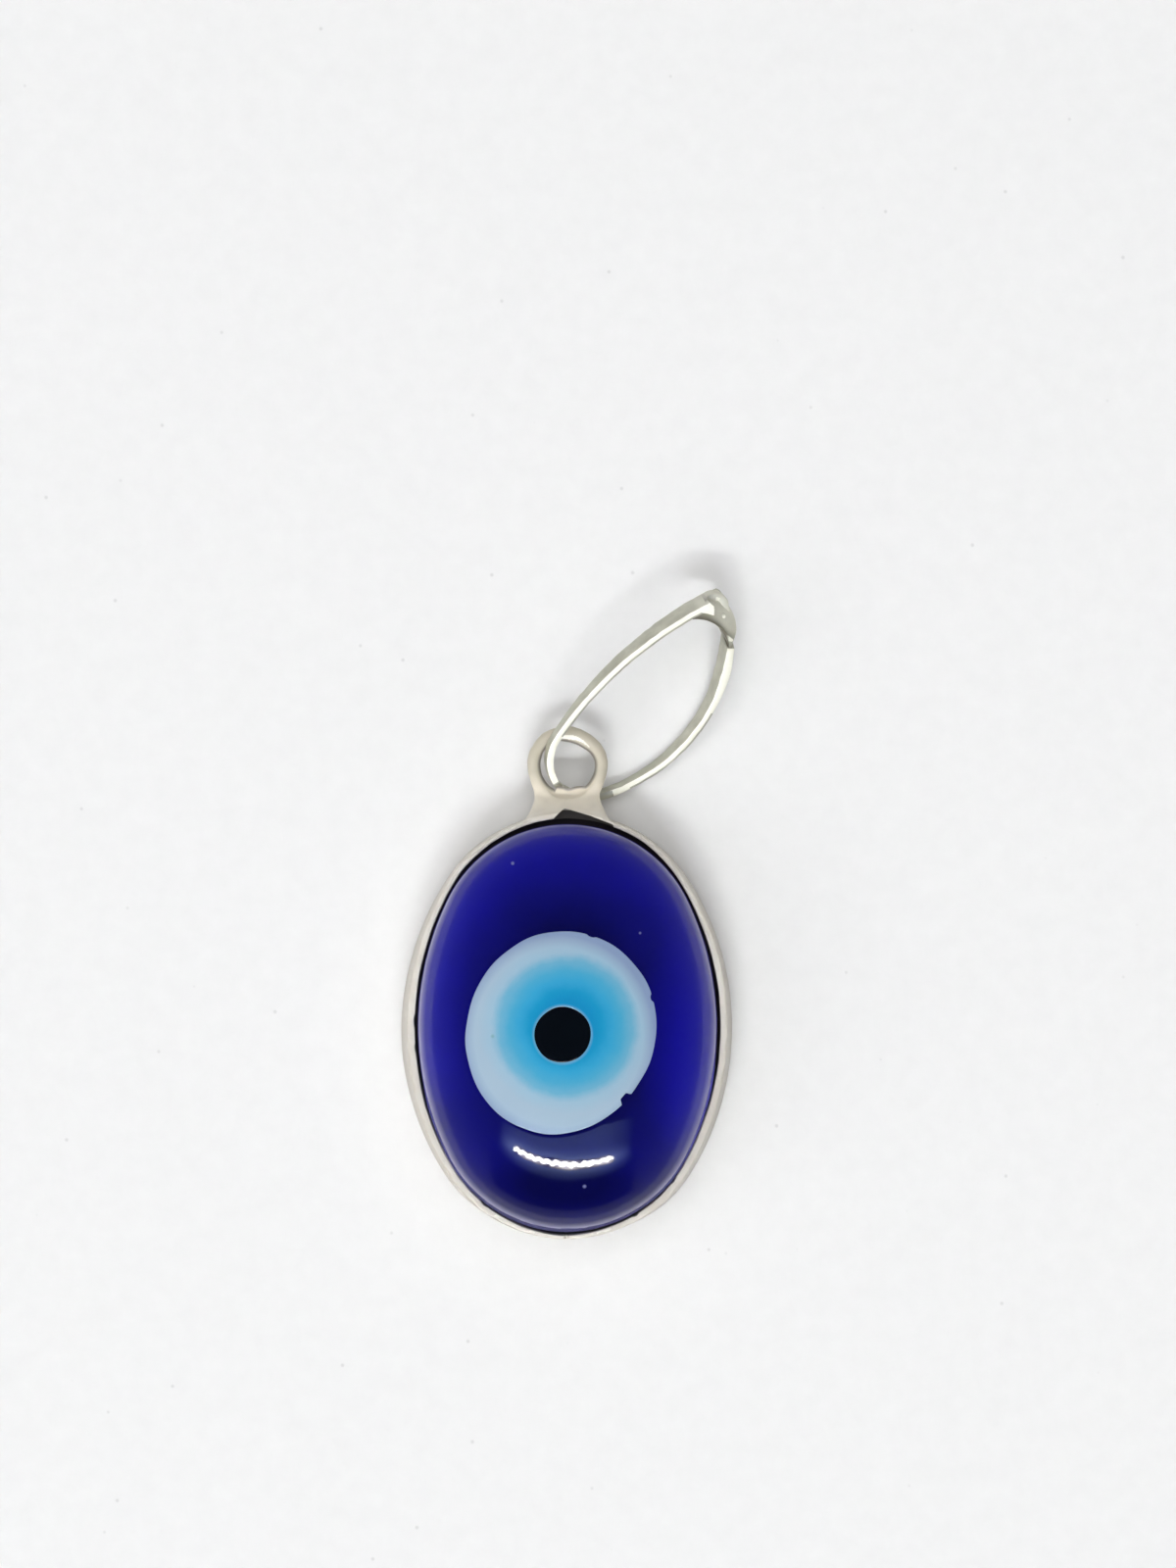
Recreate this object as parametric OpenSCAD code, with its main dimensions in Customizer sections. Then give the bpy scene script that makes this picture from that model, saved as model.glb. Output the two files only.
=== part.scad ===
// Evil eye pendant: a domed glass eye in an oval silver bezel, with a loose teardrop bail.
// It lies on its flat back. +Z is up, +Y runs towards the eyelet, and the origin is at the
// middle of the back plate's lower face. Lengths are in millimetres.

/* [Glass] */
// Width of the glass stone
glass_width = 12.12; // [11.4:0.02:15]
// Length of the glass stone
glass_length = 16.44; // [14:0.02:20]
// Radius of the stone's rounded ends
glass_end_radius = 5.4; // [4:0.05:5.7]
// Height of the stone's upright side
girdle_height = 1.7; // [1:0.05:2.2]
// Height of the dome above the side
dome_height = 3; // [2.4:0.05:4.5]
// Break of the stone's lower edge
edge_break = 0.12; // [0.04:0.02:0.3]
// Fullness of the dome: 2 is an ellipse, more is squarer
dome_fullness = 2.15; // [1.8:0.05:2.6]

/* [Eye] */
// Width of the white layer
white_width = 7.78; // [6.6:0.02:8.6]
// Length of the white layer
white_length = 8.26; // [6.8:0.02:10]
// Place of the white layer on the stone, across and along
white_centre = [-0.22, -0.14]; // [-1:0.02:1]
// Thickness of the white layer at its edge
white_edge = 0.4; // [0.3:0.05:0.6]
// Diameter of the light blue layer
iris_diameter = 5.7; // [4:0.05:6.4]
// Place of the light blue layer on the stone
iris_centre = [-0.04, 0.1]; // [-0.4:0.02:0.4]
// Thickness of the light blue layer at its edge
iris_edge = 0.35; // [0.2:0.05:0.45]
// Diameter of the black dot
pupil_diameter = 2.28; // [1.4:0.02:3.2]
// Place of the black dot on the stone
pupil_centre = [-0.18, -0.2]; // [-0.6:0.02:0.6]
// Thickness of the black dot at its edge
pupil_edge = 0.35; // [0.2:0.05:0.45]
// Gap between two fused layers
layer_gap = 0.02; // [0.01:0.01:0.05]

/* [Bezel] */
// Thickness of the back plate
plate_thickness = 0.4; // [0.3:0.05:0.8]
// Height of the bezel's rim above the table
rim_height = 2.3; // [1.9:0.05:2.8]
// Gap between glass and bezel at the sides
side_gap = 0.18; // [0.06:0.02:0.4]
// Gap between glass and bezel at the two ends
end_gap = 0.24; // [0.06:0.02:0.4]
// Width of the rim at the sides
side_rim = 0.28; // [0.2:0.02:0.5]
// Width of the rim at the two ends
end_rim = 0.19; // [0.16:0.01:0.4]
// How far the wall's foot stands out past the rim at the sides
side_flare = 0.22; // [0.04:0.02:0.5]
// How far the wall's foot stands out past the rim at the ends
end_flare = 0.04; // [0.02:0.02:0.3]
// Gap between the glass and the back plate
seat_gap = 0.03; // [0.02:0.01:0.1]

/* [Eyelet] */
// Diameter of the eyelet's hole
eyelet_hole = 2.22; // [2:0.02:3]
// Diameter of the eyelet's wire
eyelet_wire = 0.54; // [0.4:0.02:0.8]
// Height of the wire's middle above the table
eyelet_height = 1.35; // [1.05:0.05:1.5]
// Distance from the bezel's end to the centre of the hole
eyelet_reach = 1.95; // [1.8:0.02:2.6]
// Width of the neck at its narrowest
neck_width = 2.68; // [2:0.02:3]
// Width of the neck where it meets the bezel
neck_foot = 3.4; // [3:0.05:5]
// How far the open corner runs into the neck
notch_depth = 0.42; // [0.1:0.02:0.5]
// Reach of the open corner to the left
notch_left = 0.56; // [0.3:0.02:1]
// Reach of the open corner to the right
notch_right = 1.88; // [0.6:0.02:2.4]
// Height of the open corner's floor
notch_floor = 0.9; // [0.6:0.05:1.6]
// Width of the nick in the rim at the lower end
seam_width = 0.16; // [0.06:0.02:0.3]

/* [Bail] */
// Distance between the centres of the round end and the tip
bail_span = 8; // [7:0.1:10]
// Radius of the round end
round_radius = 1.75; // [1.6:0.05:1.9]
// Radius of the tip
tip_radius = 0.45; // [0.3:0.05:0.7]
// Radius of the straighter side
left_bow = 15; // [12:0.5:40]
// Radius of the rounder side
right_bow = 6.8; // [6.2:0.1:12]
// Thickness of the strip
strip_thickness = 0.28; // [0.2:0.02:0.36]
// Width of the strip at the round end
strip_narrow = 0.5; // [0.4:0.02:0.7]
// Width of the strip at the tip
strip_wide = 1.2; // [0.8:0.05:1.9]
// Direction in which the bail's tip points, seen from above
bail_turn = 50; // [40:0.5:60]
// Length of the solder that fills the tip
tip_fill = 0.55; // [0.1:0.05:0.8]
// Distance from the hole's edge to the middle of the strip
strip_inset = 0.44; // [0.4:0.02:0.7]
// Clearance between the bail and what it rests on
bail_clearance = 0.03; // [0.02:0.01:0.1]

/* [Hidden] */
// Sides of every exact circle, points round an outline and rings up the dome
$fn = 96;
OUTLINE_STEP = 5;
DOME_RINGS = 12;
// A cut runs this far past the face that it goes through
PAST = 0.5;
SILVER = [0.82, 0.79, 0.75];
// Direction from the hole's centre to the centre of the bail's round end
SEAT_TURN = 20;

// An oval of four arcs is [half width, half length, end radius].
function grown(oval, side, end) = [oval[0] + side, oval[1] + end, oval[2] + side];
GLASS = [glass_width / 2, glass_length / 2, glass_end_radius];
HOLLOW = [GLASS[0] + side_gap, GLASS[1] + end_gap, GLASS[2]];
RIM = grown(HOLLOW, side_rim, end_rim);
FOOT = grown(RIM, side_flare, end_flare);
glass_base = plate_thickness + seat_gap;
girdle_top = glass_base + girdle_height;
glass_top = girdle_top + dome_height;

// The side arcs' radius that makes them meet the end arcs without a corner
function side_radius(oval) =
    (oval[0] ^ 2 + oval[1] ^ 2 - 2 * oval[1] * oval[2]) / (2 * (oval[0] - oval[2]));

// Point of the outline whose outward direction is turn
function oval_point(oval, turn) =
    let (
        side = side_radius(oval),
        meet = atan2(oval[1] - oval[2], side - oval[0]),
        on_side = abs(sin(turn)) < sin(meet),
        radius = on_side ? side : oval[2],
        centre = on_side
            ? [-sign(cos(turn)) * (side - oval[0]), 0]
            : [0, sign(sin(turn)) * (oval[1] - oval[2])]
    )
    centre + radius * [cos(turn), sin(turn)];

function oval_ring(oval, z) =
    [for (turn = [0 : OUTLINE_STEP : 359]) concat(oval_point(oval, turn), z)];

// Closed skin through rings of equal length, the lowest first
module skin(rings) {
    count = len(rings[0]);
    last = len(rings) - 1;
    polyhedron(
        points = [for (ring = rings) each ring],
        faces = concat(
            [[for (i = [0 : count - 1]) i]],
            [for (k = [0 : last - 1], i = [0 : count - 1])
                let (j = (i + 1) % count)
                each [
                    [k * count + i, (k + 1) * count + i, (k + 1) * count + j],
                    [k * count + i, (k + 1) * count + j, k * count + j]
                ]],
            [[for (i = [count - 1 : -1 : 0]) last * count + i]]
        )
    );
}

// Flat oval with true arcs
module oval_plate(oval) {
    side = side_radius(oval);
    end_centre = oval[1] - oval[2];
    meet = atan2(end_centre, side - oval[0]);
    intersection() {
        translate([oval[0] - side, 0]) circle(side);
        translate([side - oval[0], 0]) circle(side);
        square([3 * side, 2 * side * sin(meet)], center = true);
    }
    for (way = [-1, 1])
        translate([0, way * end_centre]) circle(oval[2]);
}

// The whole stone, base to dome, with its lower edge broken
module dome_form() {
    inner = grown(GLASS, -edge_break, -edge_break);
    dome = [for (ring = [0 : DOME_RINGS])
        let (share = cos(88 * ring / DOME_RINGS) ^ (2 / dome_fullness))
        [for (p = oval_ring(GLASS, girdle_top))
            [p[0] * share, p[1] * share, p[2] + dome_lift(share)]]];
    skin(concat([oval_ring(inner, glass_base), oval_ring(GLASS, glass_base + edge_break)], dome));
}

// Height of the dome above the girdle, at a share of the way out to its edge
function dome_lift(share) = dome_height * (1 - share ^ dome_fullness) ^ (1 / dome_fullness);

// Upright plug that reaches a layer's edge thickness under the dome where the dome is lowest
module plug(width, length, centre, edge, gap) {
    share = (width / 2 + abs(centre[0])) / GLASS[0];
    bottom = girdle_top + dome_lift(share) - edge + gap;
    translate([centre[0], centre[1], bottom])
        scale([width / 2 - gap, length / 2 - gap, 1]) cylinder(r = 1, h = glass_top - bottom + PAST);
}

module white_plug(gap) { plug(white_width, white_length, white_centre, white_edge, gap); }
module iris_plug(gap) { plug(iris_diameter, iris_diameter, iris_centre, iris_edge, gap); }
module pupil_plug(gap) { plug(pupil_diameter, pupil_diameter, pupil_centre, pupil_edge, gap); }

module cabochon() {
    color([0.1, 0.08, 0.5])
    difference() {
        dome_form();
        white_plug(0);
    }
}

module eye_white() {
    color([0.8, 0.87, 0.93])
    difference() {
        intersection() {
            dome_form();
            white_plug(layer_gap);
        }
        iris_plug(0);
    }
}

module eye_iris() {
    color([0.2, 0.65, 0.85])
    difference() {
        intersection() {
            dome_form();
            iris_plug(layer_gap);
        }
        pupil_plug(0);
    }
}

module eye_pupil() {
    color([0.02, 0.02, 0.02])
    intersection() {
        dome_form();
        pupil_plug(layer_gap);
    }
}

// Centre of the eyelet's hole, and radius of the wire's middle
eyelet_y = FOOT[1] + eyelet_reach;
ring_radius = (eyelet_hole + eyelet_wire) / 2;

module eyelet() {
    translate([0, eyelet_y, eyelet_height])
        rotate_extrude() translate([ring_radius, 0]) circle(d = eyelet_wire);
}

// Solder between ring and bezel: a flat web with hollow sides, and a slope up to the rim
module neck() {
    root = RIM[1] - 0.35;
    waist = eyelet_y - ring_radius + 0.2;
    foot = neck_foot / 2;
    half = neck_width / 2;
    translate([0, 0, eyelet_height - eyelet_wire / 2])
        linear_extrude(eyelet_wire)
            polygon([
                [-foot, root], [foot, root],
                [half + 0.1, root + 0.5], [half, waist], [half, waist + 0.4],
                [-half, waist + 0.4], [-half, waist], [-half - 0.1, root + 0.5]
            ]);
    hull() {
        translate([0.1 - foot, root, eyelet_height])
            cube([neck_foot - 0.2, RIM[1] - root + 0.15, rim_height - eyelet_height - 0.05]);
        translate([0.1 - half, waist - 0.3, eyelet_height])
            cube([neck_width - 0.2, 0.3, eyelet_wire / 2]);
    }
}

// Open corner where the ends of the bezel strip meet, under the neck
module top_notch() {
    edge = HOLLOW[1];
    translate([0, 0, notch_floor])
        linear_extrude(rim_height)
            polygon([
                [-notch_left, edge - 0.4], [-notch_left, edge + 0.02], [-0.12, edge + notch_depth],
                [notch_right / 2, edge + notch_depth / 4], [notch_right, edge - 0.24],
                [notch_right, edge - 0.6]
            ]);
}

// Nick in the rim at the lower end
module seam_nick() {
    translate([0, -RIM[1] - end_flare, rim_height])
        rotate([45, 0, 0]) cube([seam_width, 0.3, 0.3], center = true);
}

module setting() {
    color(SILVER)
    difference() {
        union() {
            linear_extrude(plate_thickness) oval_plate(FOOT);
            // The wall stands a hair inside the plate's edge
            skin([
                oval_ring(grown(FOOT, -0.02, -0.02), plate_thickness - 0.1),
                oval_ring(RIM, rim_height)
            ]);
            eyelet();
            difference() {
                neck();
                translate([0, eyelet_y, 0]) cylinder(r = ring_radius, h = rim_height + PAST);
            }
        }
        translate([0, 0, plate_thickness])
            linear_extrude(rim_height) oval_plate(HOLLOW);
        top_notch();
        seam_nick();
    }
}

// The bail's middle line is four arcs that meet without a corner, drawn flat: u runs from the
// round end to the tip and v to the left. An arc is [centre, radius, first turn, last turn, steps].
function bow_centre(radius, way) =
    let (
        to_round = radius - round_radius,
        to_tip = radius - tip_radius,
        u = (to_round ^ 2 - to_tip ^ 2 + bail_span ^ 2) / (2 * bail_span)
    )
    [u, -way * sqrt(to_round ^ 2 - u ^ 2)];

function turn_towards(from, to) = let (d = to - from) (atan2(d[1], d[0]) + 360) % 360;

round_centre = [0, 0];
tip_centre = [bail_span, 0];
left_centre = bow_centre(left_bow, 1);
right_centre = bow_centre(right_bow, -1);
left_from = turn_towards(left_centre, tip_centre);
left_to = turn_towards(left_centre, round_centre);
right_from = turn_towards(right_centre, round_centre);
right_to = turn_towards(right_centre, tip_centre);
BAIL_ARCS = [
    [tip_centre, tip_radius, right_to - 360, left_from, 10],
    [left_centre, left_bow, left_from, left_to, 20],
    [round_centre, round_radius, left_to, right_from, 20],
    [right_centre, right_bow, right_from, right_to, 26]
];

// Every station is [u, v, turn], turn being the outward direction
bail_line = [for (arc = BAIL_ARCS, i = [0 : arc[4] - 1])
    let (turn = arc[2] + (arc[3] - arc[2]) * i / arc[4])
    concat(arc[0] + arc[1] * [cos(turn), sin(turn)], turn)];

function strip_width(u) =
    strip_narrow + (strip_wide - strip_narrow) * max(0, u) / (bail_span + tip_radius);

// The strip stands on edge, with its corners broken
function strip_section(station) =
    let (
        half = strip_thickness / 2,
        reach = strip_width(station[0]) / 2,
        corner = strip_thickness / 4,
        out = [cos(station[2]), sin(station[2]), 0],
        middle = [station[0], station[1], 0]
    )
    [for (c = [
        [half - corner, -reach], [corner - half, -reach], [-half, corner - reach], [-half, reach - corner],
        [corner - half, reach], [half - corner, reach], [half, reach - corner], [half, corner - reach]
    ]) middle + c[0] * out + [0, 0, c[1]]];

module flat_bail() {
    rings = [for (station = bail_line) strip_section(station)];
    sides = len(rings[0]);
    count = len(rings);
    polyhedron(
        points = [for (ring = rings) each ring],
        faces = [for (k = [0 : count - 1], i = [0 : sides - 1])
            let (k2 = (k + 1) % count, j = (i + 1) % sides)
            each [
                [k * sides + i, k2 * sides + i, k2 * sides + j],
                [k * sides + i, k2 * sides + j, k * sides + j]
            ]]
    );
    linear_extrude(strip_wide * 0.7, center = true)
        polygon([for (station = bail_line) if (station[0] > bail_span - tip_fill)
            [station[0], station[1]]]);
}

// The bail lies over the ring's far side, under its near side and on the table, so three
// heights fix how it leans. The two crossings are where its round end meets the ring's wire.
seat_distance = round_radius * 0.95 - (eyelet_hole / 2 - strip_inset);
round_place = [0, eyelet_y] + seat_distance * [cos(SEAT_TURN), sin(SEAT_TURN)];
ring_from_round = let (d = [0, eyelet_y] - round_place, c = cos(bail_turn), s = sin(bail_turn))
    [c * d[0] + s * d[1], c * d[1] - s * d[0]];
ring_way = ring_from_round / seat_distance;
function crossing(radius, way) =
    let (
        along = (round_radius ^ 2 - radius ^ 2 + seat_distance ^ 2) / (2 * seat_distance),
        side = sqrt(round_radius ^ 2 - along ^ 2)
    )
    along * ring_way + way * side * [ring_way[1], -ring_way[0]];
over = crossing(ring_radius, 1);
under = crossing(ring_radius - strip_thickness / 2, -1);
crossing_rise = eyelet_wire + strip_narrow + 2 * bail_clearance;
under_height = eyelet_height - crossing_rise / 2;

// Rise per length along u that lifts a station's lower edge to the table
function rise_needed(station) =
    let (
        across = (station[1] - under[1]) / (over[1] - under[1]),
        along = (station[0] - under[0]) - (over[0] - under[0]) * across,
        lack = bail_clearance + strip_width(station[0]) / 2 - under_height - crossing_rise * across
    )
    along > bail_span / 8 ? lack / along : 0;

rise_u = max([for (station = bail_line) rise_needed(station)]);
rise_v = (crossing_rise - rise_u * (over[0] - under[0])) / (over[1] - under[1]);
round_height = under_height - rise_u * under[0] - rise_v * under[1];
pitch = asin(rise_u);
roll = asin(rise_v / cos(pitch));

module bail() {
    color(SILVER)
    translate([round_place[0], round_place[1], round_height])
        rotate([0, 0, bail_turn]) rotate([0, -pitch, 0]) rotate([roll, 0, 0]) flat_bail();
}

setting();
cabochon();
eye_white();
eye_iris();
eye_pupil();
bail();
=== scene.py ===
from math import atan2, cos, exp, pi, radians, sin, sqrt

import bpy
import numpy as np
from mathutils import Matrix, Vector, noise


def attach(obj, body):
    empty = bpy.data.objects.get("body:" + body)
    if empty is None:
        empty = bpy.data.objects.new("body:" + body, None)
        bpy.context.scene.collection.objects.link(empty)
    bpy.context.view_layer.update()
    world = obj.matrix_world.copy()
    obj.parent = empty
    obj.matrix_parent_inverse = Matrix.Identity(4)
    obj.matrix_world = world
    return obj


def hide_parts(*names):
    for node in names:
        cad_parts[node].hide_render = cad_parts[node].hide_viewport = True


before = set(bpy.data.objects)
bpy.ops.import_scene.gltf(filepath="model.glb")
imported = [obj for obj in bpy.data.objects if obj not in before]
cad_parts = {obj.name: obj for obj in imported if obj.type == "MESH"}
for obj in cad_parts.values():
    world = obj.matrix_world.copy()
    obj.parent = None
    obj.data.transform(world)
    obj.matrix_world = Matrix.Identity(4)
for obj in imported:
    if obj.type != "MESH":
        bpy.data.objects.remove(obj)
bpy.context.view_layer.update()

# Lengths are in millimetres until new_mesh turns them into metres.
MM = 0.001

# An oval of four arcs is (half width, half length, end radius).
GLASS = (6.06, 8.22, 5.4)
HOLLOW = (6.24, 8.46, 5.4)
RIM = (6.52, 8.65, 5.68)
FOOT = (6.74, 8.69, 5.9)
PLATE_TOP = 0.4
GLASS_BASE = 0.43
GIRDLE_TOP = 2.13
DOME_RISE = 3.0
DOME_FULLNESS = 2.15
# The dome's curve stops here, just short of upright, and a short straight side follows
EDGE_SHARE = 0.987
RIM_TOP = 2.3

# Layers of the eye: centre and half sizes seen from above, and height of the underside
WHITE = {"centre": (-0.22, -0.14), "half": (3.84, 4.08), "under": 4.033}
IRIS = {"centre": (-0.04, 0.1), "half": (2.84, 2.84), "under": 4.479}
PUPIL = {"centre": (-0.18, -0.2), "half": (1.13, 1.13), "under": 4.727}
# Waves of the white layer's edge: times round, size and phase in degrees
WHITE_WAVES = ((1, 0.063, 162.0), (2, 0.123, 90.0), (3, 0.03, 14.0), (9, 0.008, 229.0), (14, 0.007, 74.0))
# Chips in the edge of the white layer: direction and half width in degrees, depth, squareness
CHIPS = ((-45.8, 3.7, 0.21, 8), (73.0, 2.2, 0.06, 4), (21.0, 2.0, 0.08, 4))

# Eyelet
RING_Y = 10.64
RING_Z = 1.35
RING_RADIUS = 1.38
WIRE = 0.27
NECK_HALF = 1.34
NECK_FOOT = 1.6
NOTCH_FLOOR = 0.9
NOTCH_TOP = 3.0
# Solder in the foot of the ring's hole: height of its middle and half its thickness
FILL_Z = 1.5
FILL_HALF = 0.075
# Room that the neck leaves round the bail
NECK_ROOM = 0.05

# Bail: a teardrop of four arcs, drawn flat with u towards the tip and v to the left.
# An arc is (centre, radius, first turn, last turn, steps).
ROUND_RADIUS = 1.75
TIP_RADIUS = 0.45
SPAN = 8.0
LEFT_BOW = 15.0
RIGHT_BOW = 6.8
STRIP_THICK = 0.28
STRIP_NARROW = 0.5
STRIP_WIDE = 1.2
STRIP_CORNER = 0.025
BAIL_PLACE = (0.932645, 10.9795, 1.21426)
BAIL_TURN = 50.0
BAIL_PITCH = 8.16449
BAIL_ROLL = 24.8504
BAIL_LEAN = (
    Matrix.Rotation(radians(BAIL_TURN), 3, "Z")
    @ Matrix.Rotation(radians(-BAIL_PITCH), 3, "Y")
    @ Matrix.Rotation(radians(BAIL_ROLL), 3, "X")
)


def smooth(value, low, high):
    """0 at low, 1 at high, and an even ease between them"""
    t = np.clip((value - low) / (high - low), 0.0, 1.0)
    return t * t * (3 - 2 * t)


def side_radius(oval):
    a, b, r = oval
    return (a * a + b * b - 2 * b * r) / (2 * (a - r))


def oval_at(oval, turns):
    """Points of an oval where it faces each turn"""
    a, b, r = oval
    side = side_radius(oval)
    meet = atan2(b - r, side - a)
    c, s = np.cos(turns), np.sin(turns)
    on_side = np.abs(s) < sin(meet)
    x = np.where(on_side, side * c - np.sign(c) * (side - a), r * c)
    y = np.where(on_side, side * s, r * s + np.sign(s) * (b - r))
    return x, y


def oval_reach(oval, x, y):
    """Distance from the middle to the oval in the direction of a point"""
    a, b, r = oval
    side = side_radius(oval)
    meet = atan2(b - r, side - a)
    length = np.maximum(np.hypot(x, y), 1e-9)
    dx, dy = np.abs(x) / length, np.abs(y) / length
    up = b - r
    back = side - a
    end = dy * up + np.sqrt((dy * up) ** 2 + r * r - up * up)
    flank = np.sqrt((dx * back) ** 2 + side * side - back * back) - dx * back
    on_flank = dy * r * cos(meet) < dx * (up + r * sin(meet))
    return np.where(on_flank, flank, end)


def dome_z(x, y):
    share = np.clip(EDGE_SHARE * np.hypot(x, y) / oval_reach(GLASS, x, y), 0.0, EDGE_SHARE)
    return GIRDLE_TOP + DOME_RISE * (1 - share ** DOME_FULLNESS) ** (1 / DOME_FULLNESS)


def new_mesh(name, points, faces, sharp=35):
    mesh = bpy.data.meshes.new(name)
    mesh.from_pydata((np.asarray(points) * MM).tolist(), [], faces)
    mesh.update()
    mesh.shade_smooth()
    mesh.set_sharp_from_angle(angle=radians(sharp))
    obj = bpy.data.objects.new(name, mesh)
    bpy.context.scene.collection.objects.link(obj)
    return obj


def ring_skin(rings):
    """Closed skin through rings of equal length; each cap is a fan about the ring's middle"""
    count = len(rings[0])
    faces = []
    for k in range(len(rings) - 1):
        for i in range(count):
            j = (i + 1) % count
            faces.append((k * count + i, k * count + j, (k + 1) * count + j, (k + 1) * count + i))
    start = (len(rings) - 1) * count
    first = len(rings) * count
    last = first + 1
    faces += [(first, (i + 1) % count, i) for i in range(count)]
    faces += [(last, start + i, start + (i + 1) % count) for i in range(count)]
    middles = [np.mean(rings[0], axis=0), np.mean(rings[-1], axis=0)]
    return np.concatenate([*rings, middles]), faces


def grid_faces(rows, columns):
    """Faces of a sheet whose points run along one row after another"""
    width = columns + 1
    return [
        (r * width + k, r * width + k + 1, (r + 1) * width + k + 1, (r + 1) * width + k)
        for r in range(rows) for k in range(columns)
    ]


def field_skin(field, low, step):
    """Skin of the region where the field is negative, with one point in each cell that it crosses"""
    inside = field < 0
    total = np.zeros(tuple(n - 1 for n in field.shape) + (3,))
    hits = np.zeros(tuple(n - 1 for n in field.shape))
    crossings = []
    for axis in range(3):
        other = [k for k in range(3) if k != axis]
        near = np.take(field, range(field.shape[axis] - 1), axis)
        far = np.take(field, range(1, field.shape[axis]), axis)
        change = (near < 0) != (far < 0)
        for k in other:
            edge = [slice(None)] * 3
            edge[k] = [0, -1]
            change[tuple(edge)] = False
        at = np.argwhere(change)
        share = near[change] / (near[change] - far[change])
        place = at.astype(float)
        place[:, axis] += share
        for first in (0, 1):
            for second in (0, 1):
                cell = at.copy()
                cell[:, other[0]] -= first
                cell[:, other[1]] -= second
                np.add.at(total, tuple(cell.T), place)
                np.add.at(hits, tuple(cell.T), 1)
        crossings.append((at, other, inside[tuple(at.T)]))
    number = np.full(hits.shape, -1)
    number[hits > 0] = np.arange(int((hits > 0).sum()))
    points = np.asarray(low) + step * total[hits > 0] / hits[hits > 0][:, None]
    faces = []
    for axis, (at, other, begins_inside) in enumerate(crossings):
        corners = []
        for first, second in ((1, 1), (0, 1), (0, 0), (1, 0)):
            cell = at.copy()
            cell[:, other[0]] -= first
            cell[:, other[1]] -= second
            corners.append(number[tuple(cell.T)])
        quads = np.stack(corners, axis=1)
        turned = begins_inside if axis != 1 else ~begins_inside
        quads[~turned] = quads[~turned][:, ::-1]
        faces += quads.tolist()
    return points, faces


def blend(one, two, width):
    """Union of two fields with a fillet"""
    h = np.clip(0.5 + 0.5 * (two - one) / width, 0.0, 1.0)
    return two * (1 - h) + one * h - width * h * (1 - h)


def soft_max(one, two, width):
    """Intersection of two fields with a rounded edge"""
    return -blend(-one, -two, width)


def mark(obj, name, amount, domain):
    """A share at each point or face of a piece, for its material"""
    layer = obj.data.attributes.new(name, "FLOAT", domain)
    layer.data.foreach_set("value", np.asarray(amount, dtype=np.float32))


def read(items, what):
    """Points, middles or normals of a mesh's points or faces"""
    flat = np.empty(len(items) * 3)
    items.foreach_get(what, flat)
    return flat.reshape(-1, 3)


def combine(target, tool, operation):
    """Adds or cuts the tool, and takes the tool away"""
    change = target.modifiers.new("combine", "BOOLEAN")
    change.operation = operation
    change.solver = "MANIFOLD"
    change.object = tool
    with bpy.context.temp_override(object=target, active_object=target):
        bpy.ops.object.modifier_apply(modifier=change.name)
    bpy.data.objects.remove(tool)


# Stone

STATIONS = 480
turns = np.linspace(0, 2 * pi, STATIONS, endpoint=False)


def round_bump(angles, toward, half, squareness=4):
    """1 near a direction in degrees, 0 away from it"""
    away = np.angle(np.exp(1j * (angles - radians(toward)))) / radians(half)
    return np.exp(-(np.abs(away) ** squareness))


def layer_outline(layer, waves, chips=()):
    """Edge of a layer, a little uneven, with its chips"""
    a, b = layer["half"]
    reach = 1 / np.sqrt((np.cos(turns) / a) ** 2 + (np.sin(turns) / b) ** 2)
    for times, size, phase in waves:
        reach += size * np.cos(times * turns - radians(phase))
    for toward, half, depth, squareness in chips:
        reach -= depth * round_bump(turns, toward, half, squareness)
    cx, cy = layer["centre"]
    return cx + reach * np.cos(turns), cy + reach * np.sin(turns)


white_edge = layer_outline(WHITE, WHITE_WAVES, CHIPS)
iris_edge = layer_outline(IRIS, ((3, 0.012, 23.0), (5, 0.009, 120.0)))
pupil_edge = layer_outline(PUPIL, ((2, 0.012, 60.0), (5, 0.006, 120.0)))
stone_reach = oval_reach(GLASS, np.cos(turns), np.sin(turns))
# The stone fills its hollow more closely round the lower end
lower_end = smooth(np.degrees(turns), 198, 214) * (1 - smooth(np.degrees(turns), 335, 352))
stone_reach = stone_reach + 0.02 + 0.065 * lower_end + 0.05 * round_bump(turns, 264, 16, 2)
stone_edge = (stone_reach * np.cos(turns), stone_reach * np.sin(turns))
SEAM_DEPTH = 0.012


def dome_rings(inner, outer, shares):
    """Rings on the dome between two outlines; the callers sink the fused seam a hair below the dome"""
    rings = []
    for t in shares:
        x = inner[0] * (1 - t) + outer[0] * t
        y = inner[1] * (1 - t) + outer[1] * t
        rings.append(np.stack([x, y, dome_z(x, y)], axis=1))
    return rings


def level_ring(edge, z):
    return np.stack([edge[0], edge[1], np.full(STATIONS, z)], axis=1)


def shrunk(edge, share):
    return edge[0] * share, edge[1] * share


def seam_shares(count, first, last):
    """Even shares from 0 to 1 with a close pair at each sunk seam"""
    middle = np.linspace(0, 1, count)[1:-1]
    return np.concatenate([[0.0], [0.015] * first, middle, [0.985] * last, [1.0]])


def sink(ring, depth):
    lowered = ring.copy()
    lowered[:, 2] -= depth
    return lowered


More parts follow.
